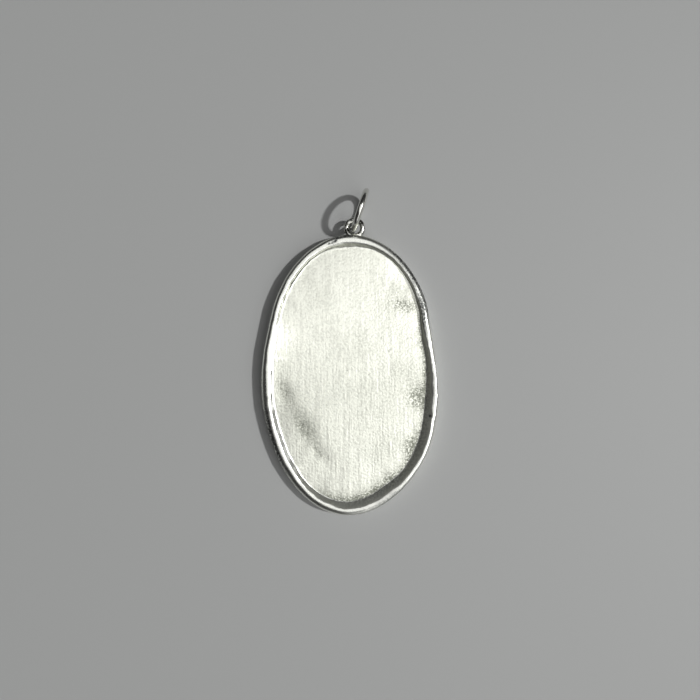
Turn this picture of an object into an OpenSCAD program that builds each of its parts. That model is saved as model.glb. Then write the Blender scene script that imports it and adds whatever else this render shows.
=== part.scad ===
/* [Oval body] */
// Width of the plain oval that the outline follows
oval_w = 23; // [18:0.5:28]
// Length of the plain oval, along the way it hangs
oval_l = 37; // [29:0.5:45]
// Thickness of the metal under the sunk face
floor_z = 1.6; // [1.3:0.05:1.7]
// Share of the modelled unevenness and dents, 0 for a plain oval dish
hand = 1; // [0:0.1:1]

/* [Soldered loop] */
// Outer diameter of the small loop at the top
loop_od = 2.84; // [2.6:0.02:3]
// Wire of the small loop
loop_wire = 0.7; // [0.6:0.02:0.76]
// Sideways place of the loop on the rim
loop_x = 0.66; // [-1:0.01:1]
// Height of the loop's wire above the back
loop_z = 1.75; // [1.4:0.05:1.9]

/* [Jump ring] */
// Outer diameter of the jump ring
ring_od = 6; // [5:0.1:8]
// Wire of the jump ring
ring_wire = 0.78; // [0.6:0.02:0.84]
// Direction in which the ring points, clockwise from the long axis
ring_heading = 18.5; // [0:0.5:40]
// Lean of the ring out of upright
ring_lean = 2; // [0:0.5:10]
// Width of the cut where the ring's ends meet
ring_cut = 0.06; // [0.04:0.01:0.2]

/* [Hidden] */
sections = 96;

// The rim as it was worked by hand, one row for each 15 degrees from +X towards +Y, in mm and degrees
// Columns: outline outside the plain oval, width of the rim, rounding of its outer shoulder, width of
// the nearly flat top, lean of the top's inner side, rounding of the inner edge, rounding at the foot,
// height of the top, drop from the top to the foot
SWELL = 0;
WIDTH = 1;
SHOULDER = 2;
LAND = 3;
LEAN = 4;
CREST = 5;
FOOT = 6;
TOP_Z = 7;
DROP = 8;
RIM = [
    [0.11, 1.37, 0.26, 0.42, 24, 0.30, 0.15, 2.27, 0.78],
    [0.04, 1.33, 0.60, 0.10, 15, 0.30, 0.15, 2.23, 0.76],
    [0.04, 1.50, 0.62, 0.30, 14, 0.38, 0.15, 2.15, 0.72],
    [0.50, 1.38, 0.70, 0.34, 6, 0.18, 0.12, 2.13, 0.72],
    [0.60, 1.22, 0.80, 0.06, 12, 0.14, 0.10, 2.15, 0.70],
    [0.36, 1.30, 0.58, 0.32, 12, 0.32, 0.25, 2.25, 0.62],
    [0.20, 1.68, 0.60, 0.45, 10, 0.32, 0.15, 2.35, 0.80],
    [0.14, 1.38, 0.60, 0.24, 10, 0.34, 0.18, 2.35, 0.84],
    [0.26, 1.50, 0.64, 0.26, 10, 0.35, 0.25, 2.37, 0.70],
    [0.21, 1.54, 0.72, 0.18, 10, 0.40, 0.30, 2.37, 0.62],
    [0.01, 1.47, 0.68, 0.12, 10, 0.45, 0.36, 2.35, 0.28],
    [0.12, 1.56, 0.66, 0.18, 10, 0.45, 0.36, 2.33, 0.28],
    [0.27, 1.68, 0.78, 0.30, 10, 0.40, 0.30, 2.30, 0.33],
    [0.42, 1.76, 0.90, 0.16, 10, 0.40, 0.38, 2.25, 0.28],
    [0.46, 1.86, 0.90, 0.14, 10, 0.44, 0.34, 2.19, 0.48],
    [0.45, 2.00, 0.84, 0.28, 10, 0.50, 0.36, 2.17, 0.48],
    [0.50, 2.02, 0.90, 0.24, 10, 0.50, 0.38, 2.19, 0.48],
    [0.46, 1.84, 0.80, 0.30, 12, 0.37, 0.27, 2.21, 0.58],
    [0.30, 1.84, 0.60, 0.28, 12, 0.34, 0.20, 2.25, 0.72],
    [0.30, 2.10, 0.62, 0.30, 12, 0.34, 0.20, 2.29, 0.82],
    [0.64, 1.84, 0.60, 0.12, 12, 0.28, 0.32, 2.33, 0.88],
    [0.90, 1.90, 0.50, 0.18, 18, 0.28, 0.30, 2.37, 0.92],
    [0.76, 1.94, 0.60, 0.08, 12, 0.28, 0.25, 2.33, 0.88],
    [0.50, 1.74, 0.40, 0.52, 26, 0.28, 0.18, 2.29, 0.82],
];

// Soft knocks in the sunk face, one row each
// Columns: place across, place along, depth, spread
AT_X = 0;
AT_Y = 1;
DEPTH = 2;
SPREAD = 3;
DENTS = [
    [-5.9, -7.1, 0.06, 1.4],
    [-8.4, -2.8, 0.06, 1.2],
    [-3.8, -10.5, 0.05, 1.1],
    [7.6, 9.3, 0.04, 1.0],
    [5.9, 11.6, 0.03, 1.0],
    [9.0, -3.0, 0.04, 1.0],
    [8.1, -9.4, 0.04, 0.8],
];

rim_mean = [for (column = [SWELL:DROP]) let (all = [for (row = RIM) row[column]])
    all * [for (row = RIM) 1] / len(RIM)];

// The section of the rim, from the back's edge to the face
back_round_in = 0.42;
wall_low_z = 0.62;
steepest = 86;
max_sine = 0.999;
back_steps = 4;
shoulder_steps = 6;
land_steps = 2;
crest_steps = 3;
foot_steps = 4;
floor_rings = 6;
floor_middle = 0.12;

// How far the loop's wire reaches into the rim, where the ring stands in it, and the finest facets
loop_r = (loop_od - loop_wire) / 2;
loop_sunk = 0.57;
ring_r = (ring_od - ring_wire) / 2;
ring_past_loop = 2.26;
ring_clear_floor = 0.02;
ring_cut_at = -62;
smooth = 48;

// Periodic cubic curve through one column of the table, at any direction
function row_at(i, column) =
    rim_mean[column] + hand * (RIM[(i + 2 * len(RIM)) % len(RIM)][column] - rim_mean[column]);
function cubic(a, b, c, d, t) =
    b + 0.5 * t * (c - a + t * (2 * a - 5 * b + 4 * c - d + t * (3 * (b - c) + d - a)));
function rim_at(angle, column) =
    let (place = angle * len(RIM) / 360, i = floor(place))
    cubic(row_at(i - 1, column), row_at(i, column), row_at(i + 1, column), row_at(i + 2, column), place - i);

function oval_reach(angle) = 1 / norm([2 * cos(angle) / oval_w, 2 * sin(angle) / oval_l]);
function reach(angle) = oval_reach(angle) + rim_at(angle, SWELL);

// Each point of a section is [distance in from the outer edge, height]
function back_edge() =
    [for (i = [0:back_steps]) let (t = 90 * i / back_steps)
        [back_round_in * (1 - sin(t)), wall_low_z * (1 - cos(t))]];
function shoulder(size) =
    [for (i = [0:shoulder_steps]) let (t = 90 * i / shoulder_steps)
        [size[SHOULDER] * (1 - cos(t)), size[TOP_Z] - size[SHOULDER] * (1 - sin(t))]];
function land(size) =
    let (radius = size[LAND] / sin(size[LEAN]))
    [for (i = [1:land_steps]) let (a = size[LEAN] * i / land_steps)
        [size[SHOULDER] + radius * sin(a), size[TOP_Z] - radius * (1 - cos(a))]];

// Tilt of the inner slope: a line that touches the inner edge's arc and the foot's arc
function slope_tilt(across, down, both) =
    min(steepest, atan2(down - both, across) + asin(min(max_sine, both / norm([across, down - both]))));
function inner_slope(size, start) =
    let (
        lean = size[LEAN],
        crest = size[CREST],
        foot = size[FOOT],
        foot_z = size[TOP_Z] - size[DROP],
        across = size[WIDTH] - start[0] + crest * sin(lean),
        down = start[1] - foot_z + crest * (1 - cos(lean)),
        slope = slope_tilt(across, down, crest + foot))
    concat(
        [for (i = [1:crest_steps]) let (a = lean + (slope - lean) * i / crest_steps)
            start + crest * [sin(a) - sin(lean), cos(a) - cos(lean)]],
        [for (i = [0:foot_steps]) let (a = slope * (1 - i / foot_steps))
            [size[WIDTH] - foot * sin(a), foot_z + foot * (1 - cos(a))]]);
function sunk_face(size, far) =
    [for (i = [1:floor_rings]) let (
            t = 1 - i / floor_rings,
            out = floor_middle + (1 - floor_middle) * t,
            foot_z = size[TOP_Z] - size[DROP])
        [far - (far - size[WIDTH]) * out, floor_z + (foot_z - floor_z) * t]];
function section(angle) =
    let (
        size = [for (column = [SWELL:DROP]) rim_at(angle, column)],
        top = land(size))
    concat(
        back_edge(),
        shoulder(size),
        top,
        inner_slope(size, top[land_steps - 1]),
        sunk_face(size, reach(angle)));

// How far the knocks lower the face at a point
function dent_at(x, y) =
    hand * [for (d = DENTS) d[DEPTH] * exp(-pow(norm([x - d[AT_X], y - d[AT_Y]]) / d[SPREAD], 2))]
    * [for (d = DENTS) 1];
function placed(p, angle, on_face) =
    let (x = (reach(angle) - p[0]) * cos(angle), y = (reach(angle) - p[0]) * sin(angle))
    [x, y, p[1] - (on_face ? dent_at(x, y) : 0)];

module dish() {
    rows = len(section(0));
    first_on_face = rows - floor_rings - 1;
    points = [for (i = [0:sections - 1])
        let (angle = 360 * i / sections, line = section(angle))
        for (j = [0:rows - 1]) placed(line[j], angle, j >= first_on_face)];
    skin = [for (i = [0:sections - 1]) for (j = [0:rows - 2])
        let (k = (i + 1) % sections)
        [i * rows + j, i * rows + j + 1, k * rows + j + 1, k * rows + j]];
    back = [for (i = [0:sections - 1]) i * rows];
    face = [for (i = [sections - 1:-1:0]) i * rows + rows - 1];
    polyhedron(points, concat(skin, [back, face]));
}

module wire_ring(radius, wire, open_angle = 0) {
    rotate_extrude(angle = 360 - open_angle, $fn = smooth)
        translate([radius, 0])
            circle(d = wire, $fn = smooth);
}

// The loop lies flat and is soldered to the rim's outer wall, its wire partly inside the metal
loop_y = reach(90) + loop_r + loop_wire / 2 - loop_sunk;

module soldered_loop() {
    translate([loop_x, loop_y, loop_z])
        wire_ring(loop_r, loop_wire);
}

module pendant() {
    color("#d9dad2")
        union() {
            dish();
            soldered_loop();
        }
}

// The jump ring stands on its edge, passes up through the loop and points away from the body
ring_z = ring_r * cos(ring_lean) + ring_wire / 2 + ring_clear_floor;
ring_x = loop_x + ring_past_loop * sin(ring_heading);
ring_y = loop_y + ring_past_loop * cos(ring_heading);

module jump_ring() {
    open_angle = ring_cut / ring_r * 180 / PI;
    color("#c8c9c5")
        translate([ring_x, ring_y, ring_z])
            rotate([0, 0, 90 - ring_heading])
                rotate([90 + ring_lean, 0, 0])
                    rotate([0, 0, ring_cut_at + open_angle / 2])
                        wire_ring(ring_r, ring_wire, open_angle);
}

pendant();
jump_ring();
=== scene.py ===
"""The oval charm pendant: an uneven hand-worked silver dish with a soldered loop and a jump ring.

Sizes of the pieces are worked out in millimetres and put into the frame in metres.
"""

import math
from collections import namedtuple

import bpy
import numpy as np
from mathutils import Matrix, Vector


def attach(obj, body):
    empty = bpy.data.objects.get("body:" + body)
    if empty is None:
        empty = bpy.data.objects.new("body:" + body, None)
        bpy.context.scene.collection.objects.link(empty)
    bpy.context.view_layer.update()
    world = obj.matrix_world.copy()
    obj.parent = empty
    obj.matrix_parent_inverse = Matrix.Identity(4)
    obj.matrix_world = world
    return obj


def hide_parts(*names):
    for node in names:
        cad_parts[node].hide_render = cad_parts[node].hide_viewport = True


bl_info = {
    "name": "Oval charm pendant",
    "version": (1, 0, 0),
    "blender": (4, 5, 0),
    "location": "View3D > Sidebar > Pendant",
    "description": "Builds an oval silver charm pendant, its loop, its jump ring and a plain stage",
    "category": "Object",
}

MM = 0.001
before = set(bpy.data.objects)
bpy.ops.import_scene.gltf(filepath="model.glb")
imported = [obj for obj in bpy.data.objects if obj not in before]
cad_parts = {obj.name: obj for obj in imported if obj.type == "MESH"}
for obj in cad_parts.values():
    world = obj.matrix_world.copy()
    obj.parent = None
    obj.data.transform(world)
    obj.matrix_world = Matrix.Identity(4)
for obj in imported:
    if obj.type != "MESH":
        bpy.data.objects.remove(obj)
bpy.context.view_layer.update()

# The rim as it was worked by hand, one row for each 15 degrees from +X towards +Y, in mm and degrees
# Columns: outline outside the plain oval, width of the rim, rounding of its outer shoulder, width of
# the nearly flat top, lean of the top's inner side, rounding of the inner edge, rounding at the foot,
# height of the top, drop from the top to the foot
SWELL, WIDTH, SHOULDER, LAND, LEAN, CREST, FOOT, TOP_Z, DROP = range(9)
RIM = (
    (0.11, 1.37, 0.26, 0.42, 24, 0.30, 0.15, 2.27, 0.78),
    (0.04, 1.33, 0.60, 0.10, 15, 0.30, 0.15, 2.23, 0.76),
    (0.04, 1.50, 0.62, 0.30, 14, 0.38, 0.15, 2.15, 0.72),
    (0.50, 1.38, 0.70, 0.34, 6, 0.18, 0.12, 2.13, 0.72),
    (0.60, 1.22, 0.80, 0.06, 12, 0.14, 0.10, 2.15, 0.70),
    (0.36, 1.30, 0.58, 0.32, 12, 0.32, 0.25, 2.25, 0.62),
    (0.20, 1.68, 0.60, 0.45, 10, 0.32, 0.15, 2.35, 0.80),
    (0.14, 1.38, 0.60, 0.24, 10, 0.34, 0.18, 2.35, 0.84),
    (0.26, 1.50, 0.64, 0.26, 10, 0.35, 0.25, 2.37, 0.70),
    (0.21, 1.54, 0.72, 0.18, 10, 0.40, 0.30, 2.37, 0.62),
    (0.01, 1.47, 0.68, 0.12, 10, 0.45, 0.36, 2.35, 0.28),
    (0.12, 1.56, 0.66, 0.18, 10, 0.45, 0.36, 2.33, 0.28),
    (0.27, 1.68, 0.78, 0.30, 10, 0.40, 0.30, 2.30, 0.33),
    (0.42, 1.76, 0.90, 0.16, 10, 0.40, 0.38, 2.25, 0.36),
    (0.46, 1.86, 0.90, 0.14, 10, 0.44, 0.34, 2.19, 0.48),
    (0.45, 2.00, 0.84, 0.28, 10, 0.50, 0.36, 2.17, 0.48),
    (0.50, 2.02, 0.90, 0.24, 10, 0.50, 0.38, 2.19, 0.48),
    (0.46, 1.84, 0.80, 0.30, 12, 0.37, 0.27, 2.21, 0.58),
    (0.30, 1.84, 0.60, 0.28, 12, 0.34, 0.20, 2.25, 0.72),
    (0.30, 2.10, 0.62, 0.30, 12, 0.34, 0.20, 2.29, 0.82),
    (0.64, 1.84, 0.60, 0.12, 12, 0.28, 0.32, 2.33, 0.88),
    (0.90, 1.90, 0.50, 0.18, 18, 0.28, 0.30, 2.37, 0.92),
    (0.76, 1.94, 0.60, 0.08, 12, 0.28, 0.25, 2.33, 0.88),
    (0.50, 1.74, 0.40, 0.52, 26, 0.28, 0.18, 2.29, 0.82),
)

# Gentle chance waves that the hand has left in the rim, and the least width of its flat top in mm
# Columns: column of the rim's table, size in mm, fewest and most waves round the oval, seed
RIM_WAVES = (
    (SWELL, 0.008, 14, 60, 3),
    (WIDTH, 0.018, 14, 90, 4),
    (SHOULDER, 0.012, 14, 80, 5),
    (LAND, 0.020, 14, 90, 7),
    (TOP_Z, 0.010, 10, 50, 6),
)
LEAST_LAND = 0.02

# The rim's section: how far in mm the rounding at the back reaches in and up and the wall bulges out,
# the steepest inner slope in radians, and how many points each stretch has
BACK_ROUND_IN = 0.42
WALL_LOW_Z = 0.62
WALL_BULGE = 0.012
STEEPEST = 1.5
MAX_SINE = 0.999
BACK_POINTS = 8
WALL_POINTS = 4
SHOULDER_POINTS = 15
LAND_POINTS = 6
CREST_POINTS = 8
SLOPE_POINTS = 3
FOOT_POINTS = 9

# Sections round the oval, rows of the sunk face, how they crowd towards the rim, how late the face
# turns up to the rim, and the rows at the rim's foot over which the face's knocks fade out
SECTIONS = 720
FACE_ROWS = 40
FACE_SPACING = 0.85
FACE_TURN = 5
FADE_ROWS = 8

# Soft lumps of the whole face: height, cell across and cell along in mm, seed, and cells in the table
LUMP_HEIGHT = 0.006
LUMP_ACROSS = 2.3
LUMP_ALONG = 3.1
LUMP_SEED = 11
LUMP_CELLS = 128

# Soft knocks in the sunk face, in mm and degrees, and the grey painted on them: partly a smudge along the
# lower left and small dark marks, partly painted shade where the knocks reflect darker. The rows without
# depth only darken the face, most of them as painted shade that dims places the lamps light too brightly
# Columns: place across, place along, depth, spread across, spread along, turn, greyness
DENTS = (
    (1.0, -2.0, 0.00, 14.0, 8.2, 0, 0.24),
    (-5.0, -11.0, 0.00, 3.5, 3.0, 0, 0.12),
    (6.5, 9.5, 0.00, 4.5, 4.5, 0, 0.18),
    (7.5, 2.0, 0.00, 2.5, 5.0, 0, 0.10),
    (6.0, -9.5, 0.00, 3.5, 4.0, 0, 0.16),
    (-9.0, 4.0, 0.00, 1.6, 5.5, 0, 0.15),
    (-6.6, -6.2, 0.00, 1.5, 4.8, 32, 0.22),
    (-6.1, -7.3, 0.05, 1.1, 2.1, 26, 0.28),
    (-8.7, -2.4, 0.05, 1.0, 1.7, 15, 0.31),
    (-3.8, -10.8, 0.04, 0.8, 1.4, 40, 0.20),
    (7.2, 9.3, 0.03, 1.7, 0.8, -14, 0.42),
    (5.9, 11.6, 0.02, 1.0, 1.0, 0, 0.14),
    (8.9, -3.1, 0.03, 1.2, 1.5, 0, 0.44),
    (8.1, -9.4, 0.03, 0.7, 1.1, -20, 0.55),
    (5.0, -13.7, 0.02, 0.8, 0.6, 20, 0.20),
    (-5.8, 13.0, 0.02, 0.7, 0.8, 0, 0.10),
    (-3.1, 2.2, 0.01, 0.14, 0.18, 0, 0.45),
    (4.1, 4.9, 0.01, 0.22, 0.12, -30, 0.45),
    (5.2, 3.2, 0.01, 0.14, 0.20, 0, 0.35),
    (-0.3, 0.5, 0.01, 0.14, 0.16, 0, 0.35),
    (2.5, 0.0, 0.01, 0.16, 0.14, 0, 0.35),
)

# Small pits and nicks in the rim, above one height, in mm
# Columns: place across, place along, depth, spread, greyness
PITS_ABOVE = 1.2
PITS = (
    (-2.72, 17.42, 0.06, 0.16, 1.2),
    (-2.30, 17.55, 0.06, 0.16, 1.2),
    (-1.90, 17.78, 0.07, 0.22, 1.4),
    (10.70, -5.50, 0.06, 0.22, 1.0),
)

# Painted shade on the face along the foot of the rim, in the crease where the face meets it
# Columns: direction and spread in degrees, reach over the face in mm, greyness
FOOT_SHADE = (
    (8, 20, 0.22, 1.0),
    (30, 18, 0.3, 0.5),
    (276, 20, 0.6, 1.3),
    (312, 14, 0.4, 0.7),
    (345, 12, 0.4, 0.7),
)

# Where the rim is painted darker: from 36 to 63 degrees it has stayed dull, and elsewhere the darkening is
# painted shade that narrows the highlights on the shoulder and at the foot, darkens the grooves and the
# shoulder beside the loop, and mottles the shaded inner slope on the right
# Columns: direction and spread in degrees, greyness of its outer shoulder, its top and its inner slope
RIM_DULL_AND_SHADE = (
    (36, 8, 0.00, 0.46, 0.00),
    (43, 9, 0.85, 0.62, 0.30),
    (63, 14, 1.00, 0.25, 0.08),
    (92, 7, 0.80, 0.00, 0.00),
    (103, 12, 0.00, 0.00, 0.50),
    (120, 16, 0.30, 0.15, 1.20),
    (172, 10, 0.00, 0.00, 0.50),
    (218, 26, 1.00, 0.10, 0.36),
    (289, 13, 0.52, 0.00, 0.10),
    (330, 70, 0.00, 0.10, 0.31),
    (352, 18, 0.60, 0.00, 0.00),
)

# Marks of the file are stronger on one side of the rim: its direction in degrees, their share at a
# quarter turn from it, and how fast the share changes. The foot is also scraped in one place: its
# direction and spread in degrees, and how strong those marks are
FILED_SIDE = 350
FILED_MIDDLE = 0.5
FILED_FALL = 1.2
SCRAPED_AT = 142
SCRAPED_SPREAD = 9
SCRAPED_MARKS = 0.8

# How strong each finish and the rim's darkening (dullness and painted shade) are along the rim's section, as
# pairs of a place and a strength: a place is 0 at the back's edge and 1 at the rim's foot, and past 1 it is
# on the face
SHOULDER_DULL_AND_SHADE = ((0.0, 0.2), (0.22, 0.2), (0.30, 1.0), (0.43, 1.0), (0.50, 0.0))
TOP_DULL_AND_SHADE = ((0.43, 0.0), (0.50, 1.0), (0.66, 1.0), (0.72, 0.0))
SLOPE_DULL_AND_SHADE = ((0.75, 0.0), (0.775, 0.85), (0.83, 1.5), (1.0, 1.7))
FILED_ROUND = ((0.0, 0.16), (0.68, 0.16), (0.76, 0.30), (1.0, 0.30), (1.02, 0.0))
FILED_MORE = ((0.0, 0.2), (0.6, 0.2), (0.7, 0.8), (0.82, 0.8), (0.9, 0.54), (1.0, 0.54), (1.02, 1.0))
SCRAPED_FOOT = ((0.70, 0.0), (0.80, 1.0), (1.0, 1.0), (1.02, 0.0))

# The loop lies flat at the top, in mm: its place across, its height, and how far it is sunk in the wall
LOOP_X = 0.66
LOOP_Z = 1.75
LOOP_SUNK = 0.57

# The bead of solder where the loop's wire meets the rim, in mm: half its sizes, and its shift from the
# middle of the wire towards the middle of the loop
SOLDER_HALF = (0.85, 0.28, 0.32)
SOLDER_SHIFT = 0.05

# The bead's chance lumps: their size as a share, how many go round it, their greatest turn in radians
# and their seed, and then the bead's points around and down
SOLDER_UNEVEN = 0.05
SOLDER_LUMPS = (2, 3, 5)
SOLDER_TURN = 6
SOLDER_SEED = 21
SOLDER_AROUND = 48
SOLDER_DOWN = 25

# The jump ring, in mm and degrees: the way it points, clockwise from the long axis, its lean out of
# upright, how far its middle is past the loop's, its gap to the floor, and the place of its cut
RING_HEADING = 18.5
RING_LEAN = 2.0
RING_PAST = 2.26
RING_CLEAR = 0.02
RING_CUT_AT = -62.0

# Points along a bent wire and round it
WIRE_BENDS = 192
WIRE_SIDES = 36

# Chance textures of the finishes, in cells for each metre. The rubbed lines are stretched first, to
# LINE_CELLS for each metre across, along and up
Texture = namedtuple("Texture", "cells detail roughness")
LINE_CELLS = (3600, 220, 300)
LINES = Texture(1.0, 3.0, 0.6)
GRAIN = Texture(3400.0, 1.0, 0.6)
CLOUDS = Texture(260.0, 3.0, 0.55)
DOTS = Texture(5200.0, 2.0, 0.5)
FILE_MARKS = Texture(3400.0, 3.0, 0.6)
WIRE_MARKS = Texture(1500.0, 2.0, 0.5)

# Depth of the relief in metres: of the brushing, the file's marks, the jump ring and the loop
BRUSHED_DEPTH = 0.0000195
FILED_DEPTH = 0.00005
RING_DEPTH = 0.000004
LOOP_DEPTH = 0.00003

# Side in metres of the flat map that gives the brushing its direction, and how much it stretches gloss
BRUSHING_MAP = 0.04
BRUSHED_STRETCH = 0.3

# How a texture or a layer is read: the two ends of its span, and what each end gives
Span = namedtuple("Span", "low high at_low at_high")
LINES_ALONG = Span(-0.008, 0.008, 0.95, 0.55)
LINE_SWING = Span(0.0, 1.0, -0.5, 0.5)
WORKED_GREY = Span(0.325, 0.555, 0.19, 0.0)
STRONG_KNOCK = Span(0.22, 0.7, 0.0, 1.0)
DOTS_BY_SIDE = Span(0.0, 1.0, 0.4, 1.0)
DOT_SWING = Span(0.36, 0.64, 0.8, -0.6)
VEIL_GREY = Span(0.45, 0.75, 0.0, 0.14)
BRUSHED_ROUGH = Span(0.3, 0.7, 0.34, 0.42)
# The rim's painted darkening, dull places and painted shade alike, breaks into patches and makes the rim
# rougher
DARKENING_PATCHES = Span(0.38, 0.62, 1.32, 0.48)
ROUGH_WHERE_DARKER = Span(0.0, 1.0, 0.22, 0.5)
FILED_ROUGH = Span(0.16, 1.0, 0.25, 0.48)
LOOP_PITS = Span(0.36, 0.50, 0.9, 0.0)

# Roughness of the ring and of the loop, and the colour of the loop's pits
RING_ROUGH = 0.18
LOOP_ROUGH = 0.24
PIT_COLOUR = "4A4B46"

# The stage: the floor's size and height in m and its roughness, the key light's direction and its width
# in degrees, and the grey of the plain room that lights the silver and of the one that the camera sees
FLOOR_SIZE = 3.0
FLOOR_Z = -0.00001
FLOOR_ROUGH = 0.6
KEY_FROM = (0.83, 0.055, 1.0)
KEY_ANGLE = 2.5
ROOM_GREY = 0.032
BACKDROP_GREY = 0.45

# Soft lamps round the pendant
# Columns: name, radiance, width and height in m, place in m
LAMPS = (
    ("overhead softbox", 0.92, 0.27, 0.60, (-0.025, 0.03, 0.5)),
    ("window softbox", 1.5, 0.42, 0.42, (0.30, -0.12, 0.40)),
    ("front card", 0.75, 0.50, 0.50, (0.25, -0.48, 0.30)),
)

# The camera looks straight down: the photo's width in pixels and its pixels for each mm, the camera's
# place in mm, the nearest distance that it sees in m, and the width of its sensor in mm
PHOTO_PX = 700
PX_PER_MM = 7.35
CAMERA_X = 0.067
CAMERA_Y = 3.28
CAMERA_NEAR = 0.005
SENSOR_MM = 36.0


def linear(code):
    """An sRGB hex colour as the linear colour that Blender's sockets take."""
    parts = [int(code[i : i + 2], 16) / 255 for i in (0, 2, 4)]
    return [c / 12.92 if c <= 0.04045 else ((c + 0.055) / 1.055) ** 2.4 for c in parts]


# Settings that a user would change


def length(name, description, default):
    """A setting for a length in metres."""
    return bpy.props.FloatProperty(
        name=name, description=description, default=default, subtype="DISTANCE", unit="LENGTH"
    )


def colour(name, description, code):
    """A setting for a colour, given as sRGB hex."""
    return bpy.props.FloatVectorProperty(
        name=name, description=description, default=linear(code), subtype="COLOR", size=3
    )


class DishSettings(bpy.types.PropertyGroup):
    """Sizes and colours of the dish."""

    oval_width: length("Oval width", "Width of the plain oval that the outline follows", 0.023)
    oval_length: length("Oval length", "Length of the plain oval", 0.037)
    face_thickness: length("Face thickness", "Metal under the sunk face", 0.0016)
    face_colour: colour("Face colour", "Colour of the brushed silver", "FEFFF3")
    # The worn colour paints the face's random tone and smudges, and also the painted shade of the knocks and
    # of the rim's foot
    worn_and_shade_colour: colour("Worn and shade colour", "Colour of the knocks that have gone grey", "8A8C81")
    rim_colour: colour("Rim colour", "Colour of the burnished silver", "FDFEF6")
    # The dirt colour paints the rim's dull places and also its painted shade, which narrows highlights and
    # darkens grooves
    dull_and_shade_colour: colour("Dull and shade colour", "Colour of the rim where it has stayed dull", "595B5A")


class WireSettings(bpy.types.PropertyGroup):
    """Sizes and colour of the loop and the jump ring."""

    loop_diameter: length("Loop diameter", "Outer diameter of the soldered loop", 0.00284)
    loop_wire: length("Loop wire", "Wire of the soldered loop", 0.0007)
    ring_diameter: length("Ring diameter", "Outer diameter of the jump ring", 0.006)
    ring_wire: length("Ring wire", "Wire of the jump ring", 0.00078)
    ring_cut: length("Ring cut", "Gap where the ring's ends meet", 0.00006)
    wire_colour: colour("Wire colour", "Colour of the polished silver", "DEDED8")


class StageSettings(bpy.types.PropertyGroup):
    """The floor, the key light and the camera."""

    floor_colour: colour("Floor colour", "Colour of the plain floor", "A2A3A2")
    key_strength: bpy.props.FloatProperty(
        name="Key light", description="Strength of the key light", default=2.05, min=0.0
    )
    camera_height: length("Camera height", "Height of the camera over the floor", 0.095)


# Chance forms and curves


def periodic(column, angle):
    """A column of the rim's table at any angle in degrees, by a closed cubic curve."""
    values = np.array([row[column] for row in RIM], float)
    place = np.asarray(angle) * len(RIM) / 360
    i = np.floor(place).astype(int)
    t = place - i
    a, b, c, d = (values[(i + k) % len(RIM)] for k in (-1, 0, 1, 2))
    return b + 0.5 * t * (c - a + t * (2 * a - 5 * b + 4 * c - d + t * (3 * (b - c) + d - a)))


def wander(angle, height, fewest, most, seed):
    """A closed run of gentle chance waves round the oval."""
    rng = np.random.default_rng(seed)
    total = np.zeros_like(angle, float)
    for n in range(fewest, most + 1):
        strength = rng.normal() / math.sqrt(n)
        total += strength * np.cos(np.radians(angle) * n + rng.uniform(0, 2 * math.pi))
    return height * total / np.std(total)


def soft_noise(u, v, seed):
    """Smooth chance relief between -1 and 1 over two coordinates, with cells one unit wide."""
    table = np.random.default_rng(seed).uniform(-1, 1, (LUMP_CELLS, LUMP_CELLS))
    i = np.floor(u).astype(int)
    j = np.floor(v).astype(int)
    s, t = (f * f * (3 - 2 * f) for f in (u - i, v - j))
    near_left, near_right = (table[(i + k) % LUMP_CELLS, j % LUMP_CELLS] for k in (0, 1))
    far_left, far_right = (table[(i + k) % LUMP_CELLS, (j + 1) % LUMP_CELLS] for k in (0, 1))
    near = near_left * (1 - s) + near_right * s
    far = far_left * (1 - s) + far_right * s
    return near * (1 - t) + far * t


def bell(angle, heading, spread):
    """A soft bump round one direction, all in degrees."""
    off = (angle - heading + 180) % 360 - 180
    return np.exp(-((off / spread) ** 2))


def along_section(part, pairs):
    """The strength at each part of the rim's section, from pairs of a place and a strength."""
    places, strengths = zip(*pairs)
    return np.interp(part, places, strengths)


def inside(count):
    """Even shares of a stretch, without its two ends."""
    return np.linspace(0, 1, count + 2)[1:-1]


def onward(count):
    """Even shares of a stretch up to its end, without its start."""
    return np.linspace(0, 1, count + 1)[1:]


# Wear of the dish


def dents(x, y):
    """How far the knocks lower the face at a point, and the grey painted there: smudge, small marks and
    painted shade.
    """
    depth = np.zeros_like(x)
    grey = np.zeros_like(x)
    for across, along, deep, wide, tall, turn, tone in DENTS:
        c = math.cos(math.radians(turn))
        s = math.sin(math.radians(turn))
        u = (x - across) * c + (y - along) * s
        v = (y - along) * c - (x - across) * s
        near = np.exp(-((u / wide) ** 2) - (v / tall) ** 2)
        depth += deep * near
        grey += tone * near
    return depth, grey


def foot_shade(angle, distance):
    """Painted shade on the face beside the rim, at a direction and a distance from the rim's foot."""
    total = np.zeros(np.broadcast(angle, distance).shape)
    for heading, spread, far, tone in FOOT_SHADE:
        total += tone * bell(angle, heading, spread) * np.exp(-np.abs(distance) / far)
    return total


def rim_dull_and_shade(angle, part):
    """Greyness of the rim at a direction and a part of its section, from dullness and painted shade."""
    total = np.zeros(np.broadcast(angle, part).shape)
    for heading, spread, *tones in RIM_DULL_AND_SHADE:
        for tone, pairs in zip(tones, (SHOULDER_DULL_AND_SHADE, TOP_DULL_AND_SHADE, SLOPE_DULL_AND_SHADE)):
            total += tone * bell(angle, heading, spread) * along_section(part, pairs)
    return total


def file_marks(angle, part):
    """How strong the file's marks are at a direction and a part of the section."""
    facing = np.cos(np.radians(angle - FILED_SIDE))
    side = np.clip(FILED_MIDDLE + FILED_FALL * facing, 0, 1)
    marks = along_section(part, FILED_ROUND) + side * along_section(part, FILED_MORE)
    scraped = SCRAPED_MARKS * bell(angle, SCRAPED_AT, SCRAPED_SPREAD)
    return marks + scraped * along_section(part, SCRAPED_FOOT)


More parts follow.
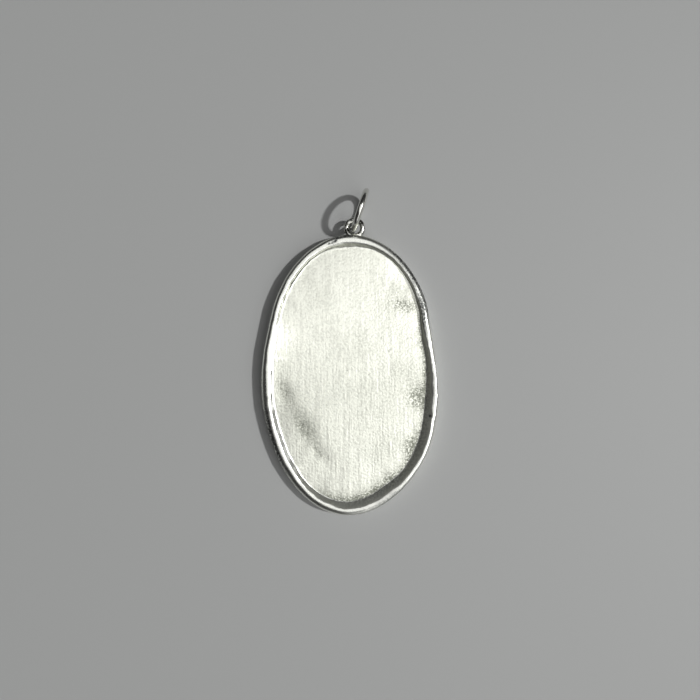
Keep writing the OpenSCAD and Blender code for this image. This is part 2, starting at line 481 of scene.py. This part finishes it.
def pits(x, y, z):
    """How far the pits and nicks lower the rim at a point, and how grey they are."""
    depth = np.zeros_like(x)
    grey = np.zeros_like(x)
    for across, along, deep, spread, tone in PITS:
        near = np.exp(-((x - across) ** 2 + (y - along) ** 2) / spread**2) * (z > PITS_ABOVE)
        depth += deep * near
        grey += tone * near
    return depth, grey


# Shape of the dish


def rim_sizes(angle):
    """Each column of the rim's table at each angle, with the chance waves."""
    size = [periodic(column, angle) for column in range(len(RIM[0]))]
    for column, height, fewest, most, seed in RIM_WAVES:
        size[column] = size[column] + wander(angle, height, fewest, most, seed)
    size[LAND] = np.clip(size[LAND], LEAST_LAND, None)
    return size


def slope_tilt(across, down, both):
    """Tilt of the inner slope, a line that touches the inner edge's arc and the foot's arc."""
    sine = np.minimum(MAX_SINE, both / np.hypot(across, down - both))
    return np.minimum(np.arctan2(down - both, across) + np.arcsin(sine), STEEPEST)


def outer_section(size):
    """Points from the back's edge up the wall and over the shoulder, each a distance in and a height."""
    shoulder = size[SHOULDER]
    wall_top = size[TOP_Z] - shoulder
    points = []
    for t in np.radians(np.linspace(0, 90, BACK_POINTS)):
        points.append((BACK_ROUND_IN * (1 - math.sin(t)), WALL_LOW_Z * (1 - math.cos(t))))
    for t in inside(WALL_POINTS):
        points.append((-WALL_BULGE * math.sin(math.pi * t), WALL_LOW_Z + (wall_top - WALL_LOW_Z) * t))
    for t in np.radians(np.linspace(0, 90, SHOULDER_POINTS)):
        points.append((shoulder * (1 - math.cos(t)), wall_top + shoulder * math.sin(t)))
    return points


def inner_section(size):
    """Points from the shoulder over the flat top, down the inner slope to the rim's foot."""
    width, top, crest, foot = (size[column] for column in (WIDTH, TOP_Z, CREST, FOOT))
    tilt = np.radians(size[LEAN])
    radius = size[LAND] / np.sin(tilt)
    points = []
    for t in onward(LAND_POINTS):
        inward = size[SHOULDER] + radius * np.sin(tilt * t)
        points.append((inward, top - radius * (1 - np.cos(tilt * t))))
    start_in, start_z = points[-1]
    foot_z = top - size[DROP]
    across = width - start_in + crest * np.sin(tilt)
    down = start_z - foot_z + crest * (1 - np.cos(tilt))
    slope = slope_tilt(across, down, crest + foot)
    for t in onward(CREST_POINTS):
        a = tilt + (slope - tilt) * t
        inward = start_in + crest * (np.sin(a) - np.sin(tilt))
        points.append((inward, start_z - crest * (np.cos(tilt) - np.cos(a))))
    end_in, end_z = points[-1]
    low_in = width - foot * np.sin(slope)
    low_z = foot_z + foot * (1 - np.cos(slope))
    for t in inside(SLOPE_POINTS):
        points.append((end_in + (low_in - end_in) * t, end_z + (low_z - end_z) * t))
    for t in np.linspace(0, 1, FOOT_POINTS):
        a = slope * (1 - t)
        points.append((width - foot * np.sin(a), foot_z + foot * (1 - np.cos(a))))
    return points


def face_rows(rad, foot, foot_z, floor_z):
    """Rows of the sunk face from the rim's foot inwards, each a distance from the middle and a height."""
    uneven = foot_z - np.mean(foot_z)
    lean_x, lean_y = (2 * np.mean(uneven * f(rad)) / np.mean(foot) for f in (np.cos, np.sin))
    lean = lean_x * np.cos(rad) + lean_y * np.sin(rad)
    rise = foot_z - floor_z - foot * lean
    rows = []
    for t in inside(FACE_ROWS)[::-1] ** FACE_SPACING:
        rows.append((foot * t, floor_z + foot * t * lean + rise * t**FACE_TURN))
    return rows


def dish_points(width, tall, floor_z):
    """Rows of points from the back's edge over the rim to the middle of the face.

    Gives their coordinates in mm, their greyness, the strength of the file's marks there, and the
    number of rows that belong to the rim.
    """
    angle = np.arange(SECTIONS) * 360 / SECTIONS
    rad = np.radians(angle)
    size = rim_sizes(angle)
    reach = 1 / np.hypot(2 * np.cos(rad) / width, 2 * np.sin(rad) / tall) + size[SWELL]
    foot = reach - size[WIDTH]
    section = outer_section(size) + inner_section(size)
    rows = [(reach - inward, height + 0 * angle) for inward, height in section]
    rows += face_rows(rad, foot, size[TOP_Z] - size[DROP], floor_z)
    r, z = (np.array(values) for values in zip(*rows))
    x = r * np.cos(rad)
    y = r * np.sin(rad)
    row = np.arange(len(rows))[:, None]
    part = row / len(section)
    on_face = np.clip((row - len(section) + FADE_ROWS) / FADE_ROWS, 0, 1)
    sunk, face_smudge_and_shade = dents(x, y)
    lumps = LUMP_HEIGHT * soft_noise(x / LUMP_ACROSS, y / LUMP_ALONG, LUMP_SEED)
    z = z - on_face * (sunk + lumps)
    pitted, pit_grey = pits(x, y, z)
    # The face's grey is smudge and painted shade; the rim's is dullness, painted shade and the pits' grey
    face_smudge_and_shade = on_face * (face_smudge_and_shade + foot_shade(angle, foot - r))
    grey = np.where(on_face > 0, face_smudge_and_shade, rim_dull_and_shade(angle, part) + pit_grey)
    return x, y, z - pitted, grey, file_marks(angle, part), len(section)


def dish_mesh(x, y, z, middle_z):
    """A closed mesh: the first row of points is filled flat, the last one meets in a middle point."""
    rows, n = x.shape
    verts = np.stack([x, y, z], -1).reshape(-1, 3) * MM
    verts = np.vstack([verts, [[0, 0, middle_z * MM]]])
    i = np.arange(n)
    k = (i + 1) % n
    faces = []
    for start in range(0, (rows - 1) * n, n):
        faces += np.stack([i + start, k + start, k + start + n, i + start + n], 1).tolist()
    last = (rows - 1) * n
    faces += np.stack([i + last, k + last, np.full(n, rows * n)], 1).tolist()
    faces.append(i[::-1].tolist())
    mesh = bpy.data.meshes.new("dish")
    mesh.from_pydata(verts.tolist(), [], faces)
    mesh.validate()
    return mesh


def add_brushing_map(mesh):
    """A flat map seen from above that gives the brushing its direction."""
    layer = mesh.uv_layers.new(name="plan")
    co = np.zeros(len(mesh.vertices) * 3)
    mesh.vertices.foreach_get("co", co)
    corners = np.zeros(len(mesh.loops), int)
    mesh.loops.foreach_get("vertex_index", corners)
    layer.data.foreach_set("uv", (co.reshape(-1, 3)[corners, :2] / BRUSHING_MAP + 0.5).ravel())


def add_layer(mesh, name, values):
    """A value for each point of the dish, which its finishes read; the middle point has 0."""
    layer = mesh.attributes.new(name, "FLOAT", "POINT")
    layer.data.foreach_set("value", np.append(values.ravel(), 0.0).astype(np.float32))


# Nodes of the finishes


def add_node(tree, kind, inputs=None, **settings):
    """Adds a node with its settings; each input gets a value or the output that feeds it."""
    node = tree.nodes.new(kind)
    for name, value in settings.items():
        setattr(node, name, value)
    for name, value in (inputs or {}).items():
        if isinstance(value, bpy.types.NodeSocket):
            tree.links.new(value, node.inputs[name])
        else:
            node.inputs[name].default_value = value
    return node


def chance_texture(tree, place, texture):
    """A chance texture over a place."""
    inputs = {
        "Vector": place,
        "Scale": texture.cells,
        "Detail": texture.detail,
        "Roughness": texture.roughness,
    }
    return add_node(tree, "ShaderNodeTexNoise", inputs).outputs["Fac"]


def read_as(tree, source, span):
    """A texture or a layer turned into what its span gives."""
    return add_node(tree, "ShaderNodeMapRange", dict(enumerate((source, *span)))).outputs[0]


def worked_out(tree, operation, *terms, clamp=False):
    """The result of one operation on outputs or numbers, kept between 0 and 1 if it is clamped."""
    inputs = dict(enumerate(terms))
    return add_node(tree, "ShaderNodeMath", inputs, operation=operation, use_clamp=clamp).outputs[0]


def point_layer(tree, name):
    """A layer of the dish's points."""
    return add_node(tree, "ShaderNodeAttribute", attribute_name=name).outputs["Fac"]


def two_tone(tree, amount, clean, darker):
    """A colour between two colours, by an amount."""
    # A Mix node has a set of sockets for each kind of data: 6, 7 and output 2 are the ones for colours
    inputs = {0: amount, 6: (*clean, 1), 7: (*darker, 1)}
    return add_node(tree, "ShaderNodeMix", inputs, data_type="RGBA").outputs[2]


def object_place(tree):
    """The place on the object, for textures."""
    return add_node(tree, "ShaderNodeTexCoord").outputs["Object"]


def new_material(name):
    """An empty node material and its tree."""
    material = bpy.data.materials.new(name)
    material.use_nodes = True
    material.node_tree.nodes.clear()
    return material, material.node_tree


def close_material(tree, inputs):
    """The one shader of a material, and the surface that it feeds."""
    shader = add_node(tree, "ShaderNodeBsdfPrincipled", inputs)
    add_node(tree, "ShaderNodeOutputMaterial", {"Surface": shader.outputs["BSDF"]})


# Finishes


def rubbed_relief(tree, place, streaks):
    """Rubbed lines over fine grain. The lines are drawn coarser than real, and show more low down."""
    grain = chance_texture(tree, place, GRAIN)
    along = add_node(tree, "ShaderNodeSeparateXYZ", {0: place}).outputs["Y"]
    share = read_as(tree, along, LINES_ALONG)
    swing = read_as(tree, streaks, LINE_SWING)
    return worked_out(tree, "MULTIPLY_ADD", swing, share, grain)


def smudges_and_painted_shade(tree, place):
    """Greyness painted on the face, smudges and painted shade of the knocks and of the rim's foot, which
    breaks up into dark dots where it is strong.
    """
    smudge_and_shade = point_layer(tree, "grey")
    by_side = read_as(tree, point_layer(tree, "filed"), DOTS_BY_SIDE)
    weight = worked_out(tree, "MULTIPLY", read_as(tree, smudge_and_shade, STRONG_KNOCK), by_side)
    dots = read_as(tree, chance_texture(tree, place, DOTS), DOT_SWING)
    return worked_out(tree, "MULTIPLY_ADD", weight, dots, smudge_and_shade)


def brushed_silver(settings):
    """Sterling silver sheet rubbed along the oval, whose fine lines spread light sideways."""
    material, tree = new_material("brushed sterling silver")
    place = object_place(tree)
    stretched = add_node(tree, "ShaderNodeMapping", {"Vector": place, "Scale": LINE_CELLS})
    streaks = chance_texture(tree, stretched.outputs["Vector"], LINES)
    relief = rubbed_relief(tree, place, streaks)
    bump = add_node(
        tree, "ShaderNodeBump", {"Strength": 1.0, "Distance": BRUSHED_DEPTH, "Height": relief}
    )
    # The face is painted darker by random tone and smudges, and by painted shade of the knocks and of the
    # rim's foot
    veil = read_as(tree, chance_texture(tree, place, CLOUDS), VEIL_GREY)
    tarnish_and_shade = worked_out(tree, "ADD", smudges_and_painted_shade(tree, place), veil)
    darker = worked_out(tree, "ADD", tarnish_and_shade, read_as(tree, relief, WORKED_GREY), clamp=True)
    tangent = add_node(tree, "ShaderNodeTangent", direction_type="UV_MAP", uv_map="plan")
    inputs = {
        "Base Color": two_tone(tree, darker, settings.face_colour, settings.worn_and_shade_colour),
        "Metallic": 1.0,
        "Roughness": read_as(tree, streaks, BRUSHED_ROUGH),
        "Anisotropic": BRUSHED_STRETCH,
        "Normal": bump.outputs["Normal"],
        "Tangent": tangent.outputs["Tangent"],
    }
    close_material(tree, inputs)
    return material


def burnished_silver(settings):
    """The same silver rubbed by hand over the rim: smoother, with small marks of the file left in it."""
    material, tree = new_material("burnished sterling silver")
    marks = chance_texture(tree, object_place(tree), FILE_MARKS)
    filed = point_layer(tree, "filed")
    bump = add_node(
        tree, "ShaderNodeBump", {"Strength": filed, "Distance": FILED_DEPTH, "Height": marks}
    )
    # The rim is painted darker where it is dull and where painted shade narrows its highlights and darkens
    # its grooves
    patches = read_as(tree, marks, DARKENING_PATCHES)
    darker = worked_out(tree, "MULTIPLY", point_layer(tree, "grey"), patches, clamp=True)
    rough_where_darker = read_as(tree, darker, ROUGH_WHERE_DARKER)
    scraped = read_as(tree, filed, FILED_ROUGH)
    inputs = {
        "Base Color": two_tone(tree, darker, settings.rim_colour, settings.dull_and_shade_colour),
        "Metallic": 1.0,
        "Roughness": worked_out(tree, "MAXIMUM", rough_where_darker, scraped),
        "Normal": bump.outputs["Normal"],
    }
    close_material(tree, inputs)
    return material


def polished_silver(name, clean, roughness, depth, pits_read=None):
    """Drawn silver wire tumbled to a shine, uneven to a depth in metres, with pits where a span is given."""
    material, tree = new_material(name)
    marks = chance_texture(tree, object_place(tree), WIRE_MARKS)
    bump = add_node(tree, "ShaderNodeBump", {"Strength": 1.0, "Distance": depth, "Height": marks})
    tone = (*clean, 1)
    if pits_read:
        tone = two_tone(tree, read_as(tree, marks, pits_read), clean, linear(PIT_COLOUR))
    inputs = {
        "Base Color": tone,
        "Metallic": 1.0,
        "Roughness": roughness,
        "Normal": bump.outputs["Normal"],
    }
    close_material(tree, inputs)
    return material


# Wire and solder


def bent_wire_tree(material):
    """Geometry nodes that sweep a round wire along an arc, closed at its ends."""
    tree = bpy.data.node_groups.new("bent wire", "GeometryNodeTree")
    new_socket = tree.interface.new_socket
    sockets = {}
    for name in ("Bend radius", "Wire radius", "Open angle"):
        sockets[name] = new_socket(name, in_out="INPUT", socket_type="NodeSocketFloat").identifier
    new_socket("Geometry", in_out="OUTPUT", socket_type="NodeSocketGeometry")
    given = add_node(tree, "NodeGroupInput").outputs
    sweep = worked_out(tree, "SUBTRACT", 2 * math.pi, given["Open angle"])
    arc = add_node(
        tree,
        "GeometryNodeCurveArc",
        {"Resolution": WIRE_BENDS, "Radius": given["Bend radius"], "Sweep Angle": sweep},
    )
    wire = add_node(
        tree,
        "GeometryNodeCurvePrimitiveCircle",
        {"Resolution": WIRE_SIDES, "Radius": given["Wire radius"]},
    )
    profile = {"Curve": arc.outputs["Curve"], "Profile Curve": wire.outputs["Curve"], "Fill Caps": True}
    tube = add_node(tree, "GeometryNodeCurveToMesh", profile)
    real = add_node(tree, "GeometryNodeRealizeInstances", {"Geometry": tube.outputs["Mesh"]})
    finish = {"Geometry": real.outputs["Geometry"], "Material": material}
    made = add_node(tree, "GeometryNodeSetMaterial", finish)
    add_node(tree, "NodeGroupOutput", {"Geometry": made.outputs["Geometry"]})
    return tree, sockets


def plain_mesh(obj):
    """Turns what the object's modifiers make into its own plain mesh."""
    evaluated = obj.evaluated_get(bpy.context.evaluated_depsgraph_get())
    shape = bpy.data.meshes.new_from_object(evaluated)
    obj.modifiers.clear()
    obj.data = shape


def bent_wire(name, bend, wire, open_angle, material, place):
    """A wire ring in metres, turned and moved by a matrix, as a plain mesh object at the origin."""
    obj = bpy.data.objects.new(name, bpy.data.meshes.new(name))
    bpy.context.scene.collection.objects.link(obj)
    tree, sockets = bent_wire_tree(material)
    modifier = obj.modifiers.new("bent wire", "NODES")
    modifier.node_group = tree
    modifier[sockets["Bend radius"]] = bend
    modifier[sockets["Wire radius"]] = wire
    modifier[sockets["Open angle"]] = open_angle
    plain_mesh(obj)
    obj.data.name = name
    obj.data.transform(place)
    # The cut ends of a ring stay flat, and the rest is smooth
    for face in obj.data.polygons:
        face.use_smooth = len(face.vertices) == 4
    return obj


def ball_points(rng):
    """Points of a ball of radius 1 with chance lumps round it, from its top down."""
    turn = np.arange(SOLDER_AROUND) * 2 * math.pi / SOLDER_AROUND
    waves = (rng.normal() * np.cos(n * turn + rng.uniform(0, SOLDER_TURN)) for n in SOLDER_LUMPS)
    lumps = 1 + SOLDER_UNEVEN * sum(waves)
    points = [(0, 0, 1)]
    for b in np.linspace(0, math.pi, SOLDER_DOWN)[1:-1]:
        wide = math.sin(b) * lumps
        points += [(w * math.cos(t), w * math.sin(t), math.cos(b)) for w, t in zip(wide, turn)]
    points.append((0, 0, -1))
    return points


def ball_faces(last):
    """Faces of the ball, whose first and last points are its poles."""
    n = SOLDER_AROUND
    faces = [(0, 1 + i, 1 + (i + 1) % n) for i in range(n)]
    for row in range(1, last - n, n):
        for i in range(n):
            k = (i + 1) % n
            faces.append((row + i, row + n + i, row + n + k, row + k))
    row = last - n
    faces += [(row + (i + 1) % n, row + i, last) for i in range(n)]
    return faces


def solder_bead(name, centre, half, material):
    """A smooth bead of solder as a squashed ball, in metres, slightly uneven."""
    points = ball_points(np.random.default_rng(SOLDER_SEED))
    faces = ball_faces(len(points) - 1)
    verts = [tuple(c + h * p for c, h, p in zip(centre, half, point)) for point in points]
    mesh = bpy.data.meshes.new(name)
    mesh.from_pydata(verts, [], faces)
    mesh.materials.append(material)
    mesh.polygons.foreach_set("use_smooth", [True] * len(faces))
    obj = bpy.data.objects.new(name, mesh)
    bpy.context.scene.collection.objects.link(obj)
    return obj


def loop_centre(dish, wire):
    """Middle of the soldered loop in metres."""
    edge_y = dish.oval_length / 2 + periodic(SWELL, 90) * MM
    return Vector((LOOP_X * MM, edge_y + wire.loop_diameter / 2 - LOOP_SUNK * MM, LOOP_Z * MM))


def place_piece(obj, slot, *nodes):
    """Places a finished piece in the frame, on the part, and hides the CAD nodes it stands for. The slot is
    not used.
    """
    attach(obj, "root")
    if nodes:
        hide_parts(*nodes)


class PENDANT_OT_dish(bpy.types.Operator):
    """Build the oval dish with its raised rim."""

    bl_idname = "pendant.dish"
    bl_label = "Build the dish"

    def execute(self, context):
        s = context.scene.pendant_dish
        floor_z = s.face_thickness / MM
        x, y, z, grey, filed, rim_rows = dish_points(s.oval_width / MM, s.oval_length / MM, floor_z)
        mesh = dish_mesh(x, y, z, floor_z)
        add_brushing_map(mesh)
        add_layer(mesh, "grey", grey)
        add_layer(mesh, "filed", filed)
        mesh.materials.append(burnished_silver(s))
        mesh.materials.append(brushed_silver(s))
        finish = np.zeros(len(mesh.polygons), int)
        finish[(rim_rows - 1) * SECTIONS : -1] = 1
        mesh.polygons.foreach_set("material_index", finish)
        # The back is the last face, and the only one that stays flat
        smooth = np.ones(len(mesh.polygons), bool)
        smooth[-1] = False
        mesh.polygons.foreach_set("use_smooth", smooth)
        obj = bpy.data.objects.new("dish", mesh)
        context.scene.collection.objects.link(obj)
        place_piece(obj, "brushed_silver", "pendant")
        return {"FINISHED"}


class PENDANT_OT_loop(bpy.types.Operator):
    """Build the small loop and the solder that holds it to the rim."""

    bl_idname = "pendant.loop"
    bl_label = "Build the loop"

    def execute(self, context):
        s = context.scene.pendant_wire
        wire = s.loop_wire / 2
        bend = s.loop_diameter / 2 - wire
        centre = loop_centre(context.scene.pendant_dish, s)
        material = polished_silver(
            "tumbled silver loop", s.wire_colour, LOOP_ROUGH, LOOP_DEPTH, LOOP_PITS
        )
        obj = bent_wire("soldered_loop", bend, wire, 0.0, material, Matrix.Translation(centre))
        place_piece(obj, "brushed_silver")
        bead_at = centre + Vector((0, SOLDER_SHIFT * MM - bend, 0))
        solder = solder_bead("solder", bead_at, Vector(SOLDER_HALF) * MM, material)
        place_piece(solder, "brushed_silver")
        return {"FINISHED"}


class PENDANT_OT_ring(bpy.types.Operator):
    """Build the jump ring that stands in the loop."""

    bl_idname = "pendant.ring"
    bl_label = "Build the jump ring"

    def execute(self, context):
        s = context.scene.pendant_wire
        wire = s.ring_wire / 2
        bend = s.ring_diameter / 2 - wire
        open_angle = s.ring_cut / bend
        head = math.radians(RING_HEADING)
        lean = math.radians(RING_LEAN)
        centre = loop_centre(context.scene.pendant_dish, s)
        centre += RING_PAST * MM * Vector((math.sin(head), math.cos(head), 0))
        centre.z = bend * math.cos(lean) + wire + RING_CLEAR * MM
        place = (
            Matrix.Translation(centre)
            @ Matrix.Rotation(math.pi / 2 - head, 4, "Z")
            @ Matrix.Rotation(math.pi / 2 + lean, 4, "X")
            @ Matrix.Rotation(math.radians(RING_CUT_AT) + open_angle / 2, 4, "Z")
        )
        material = polished_silver("polished silver wire", s.wire_colour, RING_ROUGH, RING_DEPTH)
        obj = bent_wire("ring", bend, wire, open_angle, material, place)
        place_piece(obj, "polished_silver", "jump_ring")
        return {"FINISHED"}


# Stage


def aim_from(obj, place):
    """Turns a lamp so that it shines from a place towards the origin."""
    obj.rotation_mode = "QUATERNION"
    obj.rotation_quaternion = Vector(place).to_track_quat("Z", "Y")


def plain_floor(settings):
    """The plain pale floor just under the pendant."""
    bpy.ops.mesh.primitive_plane_add(size=FLOOR_SIZE, location=(0, 0, FLOOR_Z))
    floor = bpy.context.object
    floor.name = "floor"
    material, tree = new_material("plain pale floor")
    close_material(tree, {"Base Color": (*settings.floor_colour, 1), "Roughness": FLOOR_ROUGH})
    floor.data.materials.append(material)


def key_light(scene, strength):
    """The one sharp light, which draws the shadows."""
    sun = bpy.data.lights.new("key", "SUN")
    sun.energy = strength
    sun.angle = math.radians(KEY_ANGLE)
    key = bpy.data.objects.new("key", sun)
    aim_from(key, KEY_FROM)
    scene.collection.objects.link(key)


def soft_lamps(scene):
    """The soft lamps, each an ellipse with the power that gives it its radiance."""
    for name, radiance, width, height, place in LAMPS:
        light = bpy.data.lights.new(name, "AREA")
        light.shape = "ELLIPSE"
        light.size = width
        light.size_y = height
        area = math.pi * width * height / 4
        light.energy = radiance * math.pi * area
        lamp = bpy.data.objects.new(name, light)
        lamp.location = place
        aim_from(lamp, place)
        scene.collection.objects.link(lamp)


def plain_room(scene):
    """An even dim room that the silver reflects, and a lighter even backdrop for the camera."""
    world = bpy.data.worlds.new("studio")
    scene.world = world
    world.use_nodes = True
    tree = world.node_tree
    tree.nodes.clear()
    path = add_node(tree, "ShaderNodeLightPath")
    room, backdrop = (
        add_node(tree, "ShaderNodeBackground", {"Color": (grey, grey, grey, 1)}).outputs[0]
        for grey in (ROOM_GREY, BACKDROP_GREY)
    )
    mix = add_node(
        tree, "ShaderNodeMixShader", {0: path.outputs["Is Camera Ray"], 1: room, 2: backdrop}
    )
    add_node(tree, "ShaderNodeOutputWorld", {"Surface": mix.outputs[0]})


def overhead_camera(scene, height):
    """A camera that looks straight down with the photo's frame."""
    data = bpy.data.cameras.new("camera")
    data.sensor_width = SENSOR_MM
    half_view = PHOTO_PX / 2 / PX_PER_MM * MM
    data.lens = SENSOR_MM / 2 * height / half_view
    data.clip_start = CAMERA_NEAR
    camera = bpy.data.objects.new("camera", data)
    camera.location = (CAMERA_X * MM, CAMERA_Y * MM, height)
    scene.collection.objects.link(camera)
    scene.camera = camera


class PENDANT_OT_stage(bpy.types.Operator):
    """Build the plain floor, the lights and the camera."""

    bl_idname = "pendant.stage"
    bl_label = "Build the stage"

    def execute(self, context):
        scene = context.scene
        s = scene.pendant_stage
        plain_floor(s)
        key_light(scene, s.key_strength)
        soft_lamps(scene)
        plain_room(scene)
        overhead_camera(scene, s.camera_height)
        scene.view_settings.view_transform = "Standard"
        return {"FINISHED"}


class PENDANT_PT_sidebar(bpy.types.Panel):
    """Sizes, colours and the steps that build the pendant."""

    bl_idname = "PENDANT_PT_sidebar"
    bl_label = "Oval charm pendant"
    bl_space_type = "VIEW_3D"
    bl_region_type = "UI"
    bl_category = "Pendant"

    def draw(self, context):
        scene = context.scene
        for group, steps in (
            (scene.pendant_stage, ("pendant.stage",)),
            (scene.pendant_dish, ("pendant.dish",)),
            (scene.pendant_wire, ("pendant.loop", "pendant.ring")),
        ):
            box = self.layout.box()
            for name in group.__annotations__:
                box.prop(group, name)
            for step in steps:
                box.operator(step)


CLASSES = (
    DishSettings,
    WireSettings,
    StageSettings,
    PENDANT_OT_dish,
    PENDANT_OT_loop,
    PENDANT_OT_ring,
    PENDANT_OT_stage,
    PENDANT_PT_sidebar,
)


def register():
    """Registers the classes and gives the scene its settings."""
    for c in CLASSES:
        bpy.utils.register_class(c)
    bpy.types.Scene.pendant_dish = bpy.props.PointerProperty(type=DishSettings)
    bpy.types.Scene.pendant_wire = bpy.props.PointerProperty(type=WireSettings)
    bpy.types.Scene.pendant_stage = bpy.props.PointerProperty(type=StageSettings)


def unregister():
    """Takes the settings and the classes away again."""
    for name in ("pendant_dish", "pendant_wire", "pendant_stage"):
        delattr(bpy.types.Scene, name)
    for c in reversed(CLASSES):
        bpy.utils.unregister_class(c)


def main():
    """Builds the stage and the pendant."""
    register()
    bpy.ops.pendant.stage()
    bpy.ops.pendant.dish()
    bpy.ops.pendant.loop()
    bpy.ops.pendant.ring()


if __name__ == "__main__":
    main()
